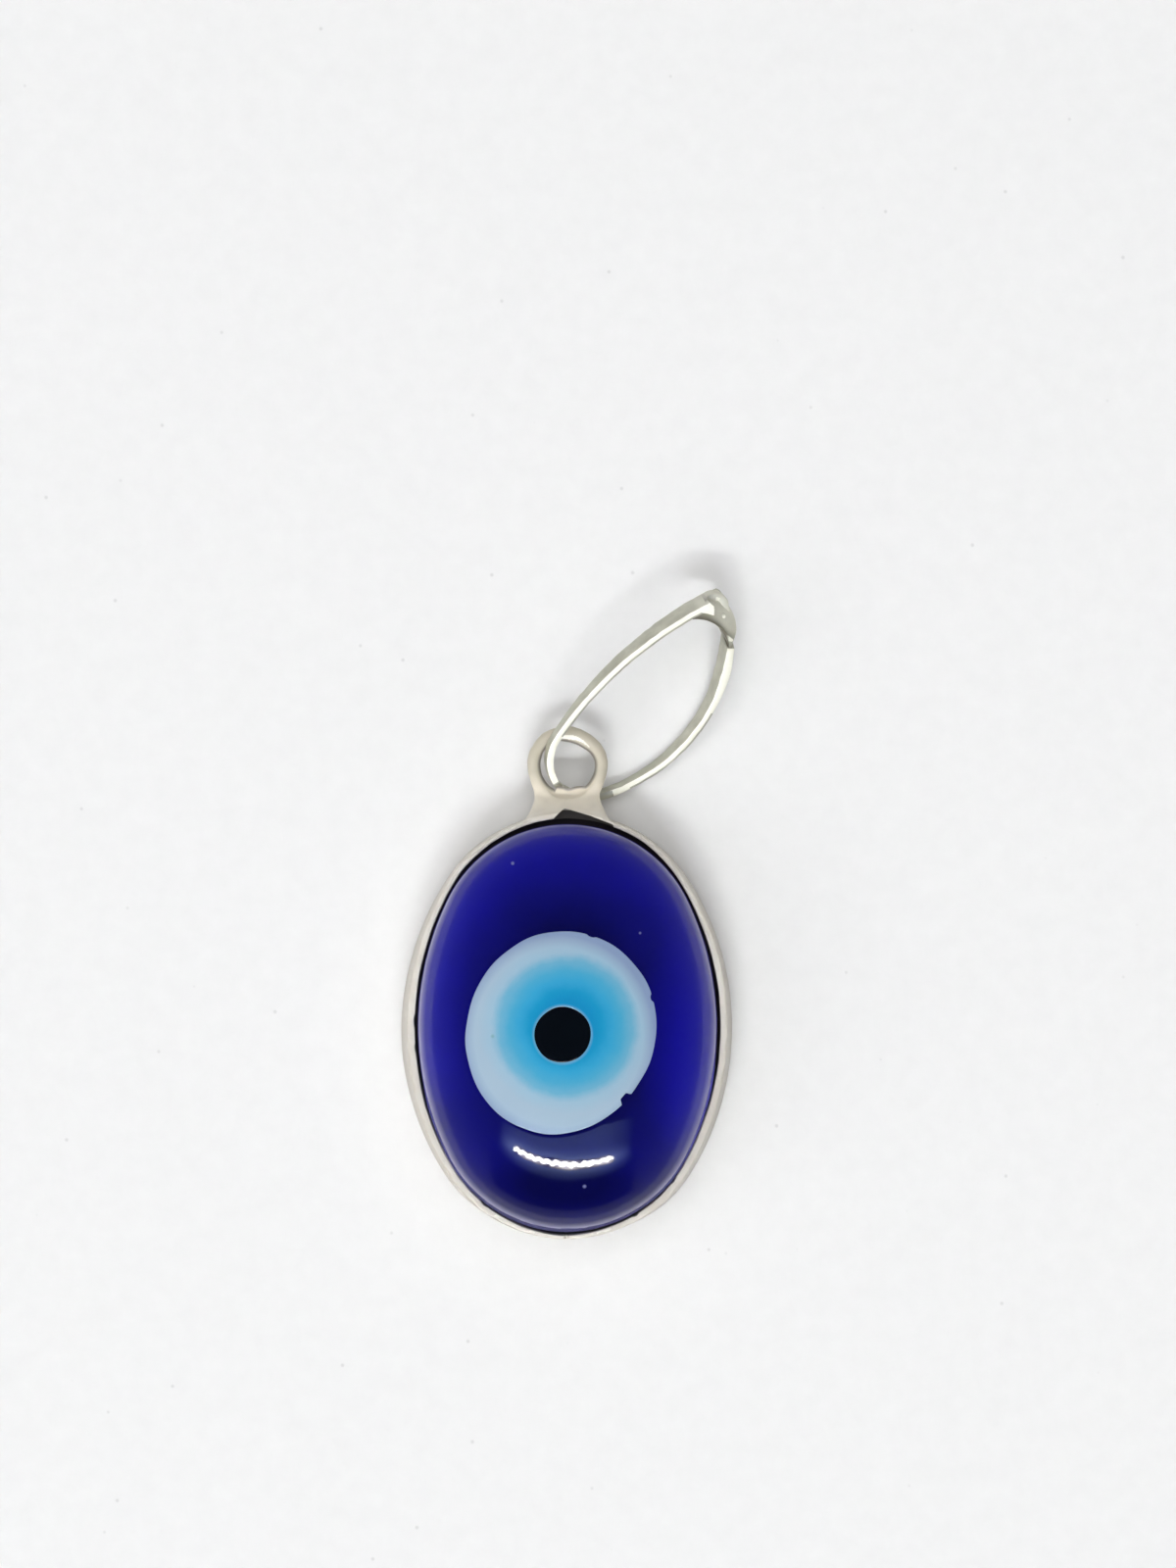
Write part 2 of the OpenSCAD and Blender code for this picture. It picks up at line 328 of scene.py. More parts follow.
def make_layer(name, layer, inner, outer, hole_floor, sinks):
    """A ring-shaped layer, or a whole dot where it has no hole; sinks are the depths of its inner and
    outer seam"""
    if inner is None:
        inner = tuple(np.full(STATIONS, value) for value in layer["centre"])
        rings = dome_rings(inner, outer, seam_shares(24, 0, 1)[1:])
    else:
        rings = dome_rings(inner, outer, seam_shares(26, 1, 1))
        rings = [level_ring(inner, hole_floor), sink(rings[0], sinks[0]), *rings[1:]]
    rings = [*rings[:-1], sink(rings[-1], sinks[1]), level_ring(outer, layer["under"])]
    points, faces = ring_skin(rings)
    # The fans turn inward when the rings run outward, so the whole skin is turned over
    return new_mesh(name, points, [f[::-1] for f in faces])


pupil = make_layer("black_dot", PUPIL, None, pupil_edge, 0, (0, SEAM_DEPTH))
iris = make_layer("light_blue_layer", IRIS, pupil_edge, iris_edge, PUPIL["under"], (SEAM_DEPTH, 0.001))
white = make_layer("white_layer", WHITE, iris_edge, white_edge, IRIS["under"], (0.001, SEAM_DEPTH))

edge_shares = 1 - (1 - np.linspace(0, 1, 64)) ** 2.6
rings = dome_rings(white_edge, stone_edge, np.concatenate([[0.0, 0.012], edge_shares[1:]]))
rings[0] = sink(rings[0], SEAM_DEPTH)
rings = [
    level_ring(white_edge, WHITE["under"]),
    *rings,
    level_ring(stone_edge, GLASS_BASE + 0.12),
    level_ring(shrunk(stone_edge, 0.99), GLASS_BASE + 0.03),
    level_ring(shrunk(stone_edge, 0.98), GLASS_BASE),
]
points, faces = ring_skin(rings)
stone = new_mesh("cobalt_stone", points, [f[::-1] for f in faces])


# Bezel

RIM_STATIONS = 960
rim_turns = np.linspace(0, 2 * pi, RIM_STATIONS, endpoint=False)


def between(one, two, share):
    return tuple(p + (q - p) * share for p, q in zip(one, two))


def inset(oval, depth):
    return tuple(value - depth for value in oval)


def rim_waves(turn, seed, size):
    """Slow unevenness of hand-bent metal round the rim"""
    spot = Vector((cos(turn) * 5.5, sin(turn) * 7.5, seed))
    return size * (0.65 * noise.noise(spot * 0.55) + 0.35 * noise.noise(spot * 1.7))


bow_out = np.array([rim_waves(t, 3.0, 0.05) for t in rim_turns])
lift = np.array([rim_waves(t, 9.0, 0.09) for t in rim_turns])
# Little steps in the rim's inner edge: turn and half width in degrees, depth
STEPS = ((179.0, 1.2, 0.05), (184.5, 0.8, 0.04), (231.0, 1.6, 0.04), (301.0, 1.2, 0.05), (323.0, 1.4, 0.04))
step_in = sum(depth * round_bump(rim_turns, at, half) for at, half, depth in STEPS)
nick = round_bump(rim_turns, 269.5, 0.6)
# Roundings of the rim's outer and inner edge
OUTER_ROUND = 0.09
INNER_ROUND = 0.04
# The edge is worn rounder in some places than in others
wear = np.array([0.9 + 1.3 * noise.noise(Vector((cos(t) * 15, sin(t) * 20, 2.0))) for t in rim_turns])
wear = np.clip(wear, 0.3, 1.5)
# The wall leans out further at the lower left and lower right
flare = 0.19 * round_bump(rim_turns, 220, 30, 2) + 0.2 * round_bump(rim_turns, 316, 30, 2)
flare += 0.07 * round_bump(rim_turns, 184, 16, 2)

profile = [
    (inset(FOOT, 0.06), 0.0, 0), (inset(FOOT, 0.02), 0.02, 0), (FOOT, 0.07, 0), (FOOT, 0.33, 0),
    (inset(FOOT, 0.02), 0.37, 0), (inset(FOOT, 0.035), 0.4, 0), (inset(FOOT, 0.02), 0.44, 0),
]
for share in np.linspace(0.06, 0.95, 16):
    profile.append((between(FOOT, RIM, share), PLATE_TOP + (RIM_TOP - PLATE_TOP) * share, share))
for a in np.linspace(0, 90, 6):
    profile.append((RIM, RIM_TOP, 1, (1 - cos(radians(a)), 1 - sin(radians(a)))))
for a in np.linspace(90, 0, 5):
    grow = INNER_ROUND * (1 - cos(radians(a)))
    oval = (HOLLOW[0] + grow, HOLLOW[1] + grow, HOLLOW[2] + grow)
    profile.append((oval, RIM_TOP - INNER_ROUND + INNER_ROUND * sin(radians(a)), 1))
for z in np.linspace(2.1, PLATE_TOP, 8):
    profile.append((HOLLOW, z, (z - PLATE_TOP) / 2))

low_point = 0.07 * round_bump(rim_turns, 268, 14, 2)

rings = []
for oval, z, share, *worn in profile:
    x, y = oval_at(oval, rim_turns)
    out = bow_out * share * (1 if z > PLATE_TOP else 0)
    inner_side = oval[2] < 5.5
    if inner_side:
        out = out + (step_in + low_point) * share
    else:
        out = out + (flare + low_point) * (1 - 0.7 * share)
    top = smooth(np.full(RIM_STATIONS, z), 1.2, RIM_TOP)
    up = z + lift * top - 0.15 * nick * top
    for inward, down in worn:
        out = out - OUTER_ROUND * wear * inward
        up = up - OUTER_ROUND * wear * down
    x = x + out * np.cos(rim_turns)
    y = y + out * np.sin(rim_turns)
    rings.append(np.stack([x, y, up], axis=1))
points, faces = ring_skin(rings)
setting = new_mesh("silver_setting", points, faces, sharp=30)


def grid_of(low, high, step):
    axes = [np.arange(a, b + step, step) for a, b in zip(low, high)]
    return np.meshgrid(*axes, indexing="ij")


def solder_ripple(x, y, z, size):
    """Soft lumps of solder"""
    wave = np.sin(4.1 * x + 1.3 * y + 0.7) * np.sin(3.3 * y - 2.2 * z + 1.9)
    fine = np.sin(9.7 * x - 5.1 * y + 2.0 * z) * np.sin(8.3 * y + 6.1 * x + 4.0 * z + 0.5)
    return size * (wave + 0.5 * fine)


# Where the ring is fuller: direction and half width in degrees, squareness
FULLER = (68, 38, 3)


def hole_foot(x):
    """Where the solder in the foot of the ring's hole ends"""
    return 9.8 - 0.1 * np.exp(-(((x - 0.05) / 0.25) ** 2)) - 0.3 * smooth(-x, 0.42, 0.6)


step = 0.04
low = (-2.6, 7.7, 0.5)
x, y, z = grid_of(low, (2.6, 12.5, 2.5), step)
from_middle = np.hypot(x, y - RING_Y)
# The ring is fuller at its upper right, and solder fills the foot of its hole
fuller = round_bump(np.arctan2(y - RING_Y, x), *FULLER)
across = (from_middle - RING_RADIUS + 0.13 * fuller) / (1 + 0.22 * fuller)
ring = np.hypot(across, z - RING_Z) - WIRE
half = NECK_HALF + (NECK_FOOT - NECK_HALF) * smooth(9.35 - y, 0.0, 0.9) + 0.05 * smooth(y, 9.5, 10.2)
web_top = RING_Z + 0.22 + 0.74 * smooth(9.9 - y, 0.0, 1.5) - 0.1 * (x / half) ** 2
web_low = RING_Z - 0.2 - 0.3 * smooth(9.2 - y, 0.0, 0.6)
web = soft_max(np.abs(x) - half, np.maximum(0.9 * (z - web_top), web_low - z), 0.3)
web = np.maximum(web, np.maximum(y - 9.75, 8.3 - y))
web = np.maximum(web, RING_RADIUS - from_middle)
fill = y - hole_foot(x)
fill = np.maximum.reduce([fill, np.abs(z - FILL_Z) - FILL_HALF, from_middle - 1.3, 9.3 - y])
share = np.clip((z - PLATE_TOP) / (RIM_TOP - PLATE_TOP), 0, 1)
outer = np.hypot(x, y - 2.79 - 0.18 * share) - (5.9 - 0.22 * share)
inner = 5.4 - np.hypot(x, y - 3.06)
wall = np.maximum(np.maximum(outer, inner), z - RIM_TOP) + 0.02
neck = blend(blend(web, ring, 0.22), fill, 0.08)
neck = blend(neck, wall, 0.34)
neck = np.maximum(neck, inner + 0.015) + solder_ripple(x, y, z, 0.013)
# It clears the bail, which passes over the ring, through its hole and under the neck
u, v, w = np.moveaxis((np.stack([x, y, z], axis=-1) - BAIL_PLACE) @ np.array(BAIL_LEAN), -1, 0)
strip = np.maximum(np.abs(np.hypot(u, v) - ROUND_RADIUS) - STRIP_THICK / 2, np.abs(w) - STRIP_NARROW / 2)
neck = np.maximum(neck, np.where(u < 1, NECK_ROOM - strip, -1))
edge = np.minimum.reduce([x - low[0], 2.55 - x, y - low[1], z - low[2] - 0.1])
neck = np.maximum(neck, 0.06 - edge)
points, faces = field_skin(neck, low, step)
combine(setting, new_mesh("neck", points, faces), "UNION")

notch = [(-0.58, 8.0), (1.95, 7.9), (1.86, 8.22), (0.95, 8.58), (-0.12, 8.89), (-0.36, 8.68), (-0.56, 8.47)]
count = len(notch)
points = [(x, y, NOTCH_FLOOR) for x, y in notch] + [(x, y, NOTCH_TOP) for x, y in notch]
faces = [tuple(range(count))[::-1], tuple(range(count, 2 * count))]
faces += [(i, (i + 1) % count, count + (i + 1) % count, count + i) for i in range(count)]
combine(setting, new_mesh("notch", points, faces), "DIFFERENCE")
setting.data.shade_smooth()
setting.data.set_sharp_from_angle(angle=radians(38))
place = read(setting.data.polygons, "center") / MM
facing = read(setting.data.polygons, "normal")
away = np.hypot(place[:, 0], place[:, 1])
inside = away - oval_reach(HOLLOW, place[:, 0], place[:, 1])
outward = (facing[:, 0] * place[:, 0] + facing[:, 1] * place[:, 1]) / away
# Painted shade darkens the hollow round the stone, more deeply down and less towards the lower end
deep = (1 - smooth(place[:, 2], 1.5, 2.0)) * (1 - 0.4 * smooth(-place[:, 1], -1, 5))
in_hollow = (inside < 0.1) & (outward < 0.3) & (place[:, 2] > 0.39)
# Painted shade also darkens the notch on its sides and floor, and the outside of the wall gets none
in_notch = (place[:, 1] > 7.5) & (np.abs(place[:, 0] - 0.6) < 1.45) & (inside < 0.5)
in_notch &= (outward < 0.3) & ((np.abs(facing[:, 2]) < 0.3) | (place[:, 2] < NOTCH_FLOOR + 0.2))
in_notch &= (place[:, 2] > NOTCH_FLOOR - 0.05) & (facing[:, 2] > -0.3)
# Painted shade darkens the ring round its hole, and a painted highlight brightens it just above it
from_hole = np.hypot(place[:, 0], place[:, 1] - RING_Y)
round_hole = np.degrees(np.arctan2(place[:, 1] - RING_Y, place[:, 0]))
on_ring = place[:, 1] > 9.2
hole_edge = from_hole - 1.11 + 0.19 * round_bump(np.radians(round_hole), *FULLER)
hole_edge = np.maximum(hole_edge, hole_foot(place[:, 0]) - place[:, 1])
painted_hole_shade = np.where(on_ring & (from_hole < 1.4), 0.62 * (1 - smooth(hole_edge, 0.04, 0.15)), 0)
mark(setting, "painted_shade_and_grime", np.where(in_notch, 0.8, np.where(in_hollow, deep, painted_hole_shade)), "FACE")
painted_ring_highlight = on_ring & (np.abs(from_hole - 1.16) < 0.1 - 0.0018 * np.abs(round_hole - 85))
painted_ring_highlight &= (np.abs(round_hole - 72) < 32) & (facing[:, 2] > 0)
# A painted highlight runs along the rim's top, with painted glints in broken patches towards the lower end
patchy = np.array([noise.noise(Vector(spot) * 1.4) for spot in place])
painted_glints = smooth(-place[:, 1], 2.0, 5.0) * (inside < 0.1) * smooth(patchy, -0.2, 0.1)
painted_rim_highlight = smooth(place[:, 2], 2.12, 2.2) * (0.2 + 0.7 * painted_glints)
mark(setting, "painted_highlight", np.where(painted_ring_highlight, 1, painted_rim_highlight), "FACE")


# Bail

def bow_centre(radius, way):
    to_round = radius - ROUND_RADIUS
    to_tip = radius - TIP_RADIUS
    u = (to_round**2 - to_tip**2 + SPAN**2) / (2 * SPAN)
    return (u, -way * sqrt(to_round**2 - u**2))


def turn_towards(start, end):
    return atan2(end[1] - start[1], end[0] - start[0]) % (2 * pi)


left = bow_centre(LEFT_BOW, 1)
right = bow_centre(RIGHT_BOW, -1)
TIP = (SPAN, 0.0)
bends = (
    turn_towards(right, TIP) - 2 * pi, turn_towards(left, TIP), turn_towards(left, (0, 0)),
    turn_towards(right, (0, 0)), turn_towards(right, TIP),
)
arcs = (
    (TIP, TIP_RADIUS, bends[0], bends[1], 36),
    (left, LEFT_BOW, bends[1], bends[2], 140),
    ((0, 0), ROUND_RADIUS, bends[2], bends[3], 80),
    (right, RIGHT_BOW, bends[3], bends[4], 130),
)


def strip_width(u):
    return STRIP_NARROW + (STRIP_WIDE - STRIP_NARROW) * np.maximum(0, u) / (SPAN + TIP_RADIUS)


rings = []
for centre, radius, start, stop, steps in arcs:
    for i in range(steps):
        turn = start + (stop - start) * i / steps
        spot = Vector((centre[0] + radius * cos(turn), centre[1] + radius * sin(turn), 0))
        sway = 0.02 * noise.noise(spot * 1.1) + 0.012 * noise.noise(spot * 3.1)
        spot += Vector((cos(turn), sin(turn), 0)) * sway
        tall = strip_width(spot.x) / 2 + 0.012 * noise.noise(spot * 2.3 + Vector((7, 0, 0)))
        thick = STRIP_THICK / 2 * (1.06 + 0.1 * noise.noise(spot * 2.7 + Vector((0, 5, 0))))
        if centre == right:
            thick *= 1 + 0.32 * exp(-(((spot.x - 6.1) / 0.75) ** 2))
        if centre == TIP:
            dip = 1.0
        elif centre == left:
            dip = float(smooth(spot.x, 8.0, 8.1))
        elif centre == right:
            dip = float(smooth(spot.x, 7.1, 7.45))
        else:
            dip = 0.0
        crest = tall - dip * (tall + 0.12)
        section = []
        for a, b in ((1, 1), (-1, 1), (-1, -1), (1, -1)):
            first = {(1, 1): 0, (-1, 1): 90, (-1, -1): 180, (1, -1): 270}[a, b]
            for k in range(5):
                bend = radians(first + 22.5 * k)
                out = a * (thick - STRIP_CORNER) + STRIP_CORNER * cos(bend)
                up = crest - STRIP_CORNER if b > 0 else STRIP_CORNER - tall
                up += STRIP_CORNER * sin(bend)
                section.append(spot + Vector((cos(turn) * out, sin(turn) * out, up)))
            if (a, b) == (1, 1):
                # The upper edge is crowned
                for share in (0.5, 0.0, -0.5):
                    out = share * (thick - STRIP_CORNER)
                    up = crest + 0.008 * (1 - share * share)
                    section.append(spot + Vector((cos(turn) * out, sin(turn) * out, up)))
        rings.append(np.array(section))
count = len(rings[0])
points = np.concatenate(rings)
total = len(rings)
faces = [
    (k * count + i, k * count + (i + 1) % count,
     (k + 1) % total * count + (i + 1) % count, (k + 1) % total * count + i)
    for k in range(total) for i in range(count)
]
bail = new_mesh("silver_bail_loop", points, [f[::-1] for f in faces], sharp=50)

# Solder that fills the tip: its top slopes down and outward from a blunt inner corner
# Two beads of solder stand on it
BEADS = ((8.36, 0.13, -0.19), (7.98, -0.45, 0.13))
BEAD_RADIUS = 0.09
step = 0.028
low = (6.7, -2.1, -0.95)
u, v, w = grid_of(low, (9.15, 1.35, 0.85), step)
arm = np.full(u.shape, 9.0)
for centre, radius, *_ in arcs[1::2]:
    arm = np.minimum(arm, np.abs(np.hypot(u - centre[0], v - centre[1]) - radius))
tall = strip_width(u) / 2
ends = np.maximum(8.1 - 0.6 * smooth(-v, 0.0, 0.6) - u, 0)
strip = np.maximum(arm - STRIP_THICK / 2, np.abs(w) - tall) + 0.02 + 0.07 * smooth(7.55 - u, 0.0, 0.3)
strip = np.maximum(strip, np.where(ends > 0, -1, 0.3))
around = np.degrees(np.arctan2(v + 0.35, u - 7.3))
reach = 1.1 + 0.38 * np.exp(-(((around - 24) / 17) ** 2))
inner_line = 7.52 - 0.25 * ((v + 0.38) / 0.8) ** 2
outer_line = 8.66 - 0.55 * smooth(-v, 0.1, 1.2)
down = np.clip((u - inner_line) / (outer_line - inner_line), 0, 1.3) ** 1.2
crest = 0.5 - (1.05 - 0.6 * smooth(-v, 0.1, 1.3)) * down
nose = soft_max(0.75 * (w - crest), np.hypot(u - 7.3, v + 0.35) - reach, 0.12)
nose = soft_max(nose, 0.8 * (inner_line - u), 0.1)
nose = np.maximum.reduce([nose, -0.57 - w, np.hypot(u - left[0], v - left[1]) - LEFT_BOW - 0.08])
hook = np.maximum.reduce([
    w - 0.56, 0.1 - w,
    0.98 * (u - 8.05) - 0.2 * (v - 0.5) - 0.02,
    -0.35 * (v - 0.08) - 0.94 * (u - 7.78) + 0.02,
    0.57 * (u - 7.8) - 0.82 * (v - 0.1),
    v - 0.62,
])
for x, y, z in BEADS:
    nose = blend(nose, np.sqrt((u - x) ** 2 + (v - y) ** 2 + (w - z) ** 2) - BEAD_RADIUS, 0.03)
nose = blend(blend(nose, hook, 0.04), strip, 0.08) + solder_ripple(u * 1.3, v, w, 0.008)
edge = np.minimum.reduce([u - low[0], v - low[1], 1.3 - v, 9.1 - u])
nose = np.maximum(nose, 0.08 - edge)
points, faces = field_skin(nose, low, step)
combine(bail, new_mesh("nose", points, faces), "UNION")
bail.data.shade_smooth()
bail.data.set_sharp_from_angle(angle=radians(50))
place = read(bail.data.vertices, "co") / MM
# Painted shade and grime darken the blunt inner corner of the tip, and a spot by the end of the hook
corner = place[:, 0] - 7.56 + 0.25 * ((place[:, 1] + 0.38) / 0.8) ** 2
corner_shade_and_grime = np.exp(-(((corner + 0.03) / 0.15) ** 2)) * (place[:, 0] > 6.9) * smooth(place[:, 2], -0.5, 0.0)
corner_shade_and_grime = np.maximum(corner_shade_and_grime * (1 - smooth(place[:, 2], 0.46, 0.5)), 0.7 * np.exp(
    -(((place[:, 0] - 8.05) / 0.16) ** 2) - ((place[:, 2] - 0.15) / 0.16) ** 2) * (place[:, 1] > 0.4))
mark(bail, "painted_shade_and_grime", 0.9 * corner_shade_and_grime, "POINT")
place = read(bail.data.polygons, "center") / MM
level = read(bail.data.polygons, "normal")[:, 2] > 0.8
crest = strip_width(place[:, 0]) / 2
bright = level & (place[:, 2] > crest - 0.06)
# Painted highlight on the strip's upper edge; along one side of each strand it is left off, and so on the
# part that passes under the neck
inner_side = np.hypot(place[:, 0] - left[0], place[:, 1] - left[1]) - LEFT_BOW < -0.055
outer_side = np.hypot(place[:, 0] - right[0], place[:, 1] - right[1]) - RIGHT_BOW > 0.05
bright &= ~(inner_side & (place[:, 1] > 0.3) & (np.abs(place[:, 0] - 3.8) < 3.8))
bright &= ~(outer_side & (place[:, 1] < -0.3) & (np.abs(place[:, 0] - 2.25) < 2.25))
round_end = np.degrees(np.arctan2(place[:, 1], place[:, 0])) % 360
bright &= ~((place[:, 0] < 0) & (np.abs(round_end - 206) < 44))
# The tops of the beads get the painted highlight, and the solder a weaker one
for x, y, z in BEADS:
    bright |= (np.hypot(place[:, 0] - x, place[:, 1] - y) < BEAD_RADIUS) & (place[:, 2] > z + 0.03)
solder = 0.4 * smooth(place[:, 0] - 7.5, 0.0, 0.3) * (place[:, 2] > -0.5)
mark(bail, "painted_highlight", np.where(bright, 1, solder), "FACE")

bail.data.transform(Matrix.Translation(Vector(BAIL_PLACE) * MM) @ BAIL_LEAN.to_4x4())


# Materials

class Look:
    """A material with its nodes"""

    def __init__(self, name):
        self.material = bpy.data.materials.new(name)
        self.material.use_nodes = True
        self.tree = self.material.node_tree
        self.shader = self.tree.nodes["Principled BSDF"]
        self.place = self.add("ShaderNodeTexCoord").outputs["Object"]

    def add(self, kind, **settings):
        node = self.tree.nodes.new(kind)
        for key, value in settings.items():
            if hasattr(node, key):
                setattr(node, key, value)
            else:
                node.inputs[key.replace("_", " ")].default_value = value
        return node

    def link(self, start, end):
        self.tree.links.new(start, end)

    def set(self, **values):
        for key, value in values.items():
            self.shader.inputs[key.replace("_", " ")].default_value = value

    def noise(self, size, detail=3.0, rough=0.55, stretch=None):
        """Noise with features of a size in millimetres"""
        node = self.add("ShaderNodeTexNoise")
        node.inputs["Scale"].default_value = 1 / (size * MM)
        node.inputs["Detail"].default_value = detail
        node.inputs["Roughness"].default_value = rough
        if stretch:
            mapping = self.add("ShaderNodeMapping")
            mapping.inputs["Scale"].default_value = stretch
            self.link(self.place, mapping.inputs["Vector"])
            self.link(mapping.outputs["Vector"], node.inputs["Vector"])
        else:
            self.link(self.place, node.inputs["Vector"])
        return node.outputs["Fac"]

    def pits(self, size, low, high):
        """0 in scattered pits, 1 elsewhere"""
        node = self.add("ShaderNodeTexVoronoi")
        node.inputs["Scale"].default_value = 1 / (size * MM)
        self.link(self.place, node.inputs["Vector"])
        return self.span(node.outputs["Distance"], low, high, 0, 1)

    def span(self, value, low, high, start, end):
        node = self.add("ShaderNodeMapRange")
        for key, number in zip(("From Min", "From Max", "To Min", "To Max"), (low, high, start, end)):
            node.inputs[key].default_value = number
        self.link(value, node.inputs["Value"])
        return node.outputs["Result"]

    def math(self, operation, one, two):
        node = self.add("ShaderNodeMath", operation=operation)
        for value, socket in ((one, node.inputs[0]), (two, node.inputs[1])):
            if isinstance(value, (int, float)):
                socket.default_value = value
            else:
                self.link(value, socket)
        return node.outputs[0]

    def mix(self, share, one, two):
        """Mix of two colours"""
        node = self.add("ShaderNodeMix", data_type="RGBA")
        self.link(share, node.inputs["Factor"])
        for value, socket in ((one, node.inputs["A"]), (two, node.inputs["B"])):
            if isinstance(value, tuple):
                socket.default_value = (*value, 1)
            else:
                self.link(value, socket)
        return node.outputs["Result"]

    def distance(self, centre, scale=(1, 1, 0)):
        """Distance from a point in millimetres, seen from above unless the scale says otherwise"""
        away = self.add("ShaderNodeVectorMath", operation="SUBTRACT")
        away.inputs[1].default_value = tuple(value * MM for value in centre)
        self.link(self.place, away.inputs[0])
        sized = self.add("ShaderNodeVectorMath", operation="MULTIPLY")
        sized.inputs[1].default_value = tuple(value / MM for value in scale)
        self.link(away.outputs["Vector"], sized.inputs[0])
        length = self.add("ShaderNodeVectorMath", operation="LENGTH")
        self.link(sized.outputs["Vector"], length.inputs[0])
        return length.outputs["Value"]

    def along(self, axis, low, high, start=0, end=1):
        """Runs from start to end between two places on an axis, in millimetres"""
        split = self.add("ShaderNodeSeparateXYZ")
        self.link(self.place, split.inputs[0])
        return self.span(split.outputs[axis], low * MM, high * MM, start, end)

    def ramp(self, value, stops):
        node = self.add("ShaderNodeValToRGB")
        elements = node.color_ramp.elements
        while len(elements) < len(stops):
            elements.new(0.5)
        for element, (at, colour) in zip(elements, stops):
            element.position = at
            element.color = (*colour, 1)
        self.link(value, node.inputs["Fac"])
        return node.outputs["Color"]

    def colour(self, source):
        self.link(source, self.shader.inputs["Base Color"])

    def rough(self, source):
        self.link(source, self.shader.inputs["Roughness"])

    def bump(self, height, depth, strength=1.0, where=None):
        """Relief with a depth in millimetres; later calls add to it"""
        node = self.add("ShaderNodeBump")
        node.inputs["Distance"].default_value = depth * MM
        if where:
            self.link(self.span(where, 0, 1, strength, 0.1 * strength), node.inputs["Strength"])
        else:
            node.inputs["Strength"].default_value = strength
        self.link(height, node.inputs["Height"])
        socket = self.shader.inputs["Normal"]
        if socket.is_linked:
            self.link(socket.links[0].from_socket, node.inputs["Normal"])
        self.link(node.outputs["Normal"], socket)


def silver_look(name, metal, tones, mottle, mottled, painted_foot_shade, shade_and_grime_tone, scratch, shine):
    """Worn silver: tones are two colours that drift into each other, mottle a third in small patches and,
    by the next share, as painted shade low down and towards the lower end; the colour after paints shade
    and grime, shine the painted highlight"""
    look = Look(name)
    cloud = look.noise(1.1, 4)
    patch = look.noise(0.6, 1.5, 0.45)
    fine = look.noise(0.2, 2, 0.5)
    pit = look.pits(0.55, 0.02, 0.1)
    tint = look.mix(look.span(cloud, 0.35, 0.65, 0, 1), *tones)
    if name == "silver":
        solder = look.mix(look.along("Y", 9.7, 10.4), (0.95, 0.87, 0.71), (0.69, 0.64, 0.51))
        tint = look.mix(look.along("Y", 8.4, 9.5), tint, solder)
    tint = look.mix(look.span(patch, 0.4, 0.75, 0, mottled), tint, mottle)
    tint = look.mix(look.span(fine, 0.4, 0.75, 0, 0.15 * mottled), tint, mottle)
    tint = look.mix(look.span(pit, 0, 1, 0.07, 0), tint, mottle)
    # Painted shade low down and towards the lower end
    tint = look.mix(look.along("Z", 1.7, 0.5, 0, painted_foot_shade), tint, mottle)
    tint = look.mix(look.along("Y", 2, -4, 0, 0.6 * painted_foot_shade), tint, mottle)
    # Painted highlight: here the colour is painted bright and the metal made mostly plain
    painted_highlight = look.add("ShaderNodeAttribute", attribute_name="painted_highlight").outputs["Fac"]
    tint = look.mix(painted_highlight, tint, shine)
    look.link(look.span(painted_highlight, 0, 1, metal, 0.1), look.shader.inputs["Metallic"])
    # Painted shade, with some grime, where the mark says
    shade_and_grime = look.add("ShaderNodeAttribute", attribute_name="painted_shade_and_grime").outputs["Fac"]
    look.colour(look.mix(shade_and_grime, tint, shade_and_grime_tone))
    worn = look.span(cloud, 0.3, 0.7, 0.3, 0.37)
    look.rough(look.math("ADD", worn, look.span(fine, 0.3, 0.7, -0.01, 0.04)))
    look.bump(look.noise(1.1, 1), 0.05, 0.4)
    look.bump(fine, 0.004, 0.4, painted_highlight)
    look.bump(look.noise(0.09, 2, 0.5, scratch), 0.003, 0.3)
    look.bump(pit, 0.005, 0.3, painted_highlight)
    return look.material


def glass_look(name):
    look = Look(name)
    look.set(Roughness=0.03, IOR=1.5, Coat_Weight=0.0)
    look.rough(look.span(look.noise(0.7, 4), 0.35, 0.7, 0.02, 0.06))
    look.bump(look.noise(2.3, 2), 0.03, 0.35)
    look.bump(look.noise(0.5, 3), 0.0015, 0.4)
    return look


def specks(look, colour, spots, tone):
    """Small bubbles just under the surface: each is (x, y, radius)"""
    for x, y, radius in spots:
        near = look.span(look.distance((x, y, 0)), radius, radius * 0.3, 0, 0.75)
        colour = look.mix(near, colour, tone)
    return colour


silver = silver_look(
    "silver", 0.2, ((0.76, 0.705, 0.62), (0.79, 0.76, 0.68)), (0.55, 0.51, 0.44), 0.2, 0.6,
    (0.04, 0.034, 0.046), (0.25, 1.0, 1.0), (0.97, 0.94, 0.84),
)
silver_bail = silver_look(
    "silver_bail", 0.55, ((0.5, 0.495, 0.4), (0.67, 0.665, 0.55)), (0.42, 0.41, 0.31), 0.3, 0,
    (0.15, 0.13, 0.085), (1.0, 0.3, 1.0), (1.0, 0.99, 0.86),
)

cobalt = glass_look("cobalt_glass")
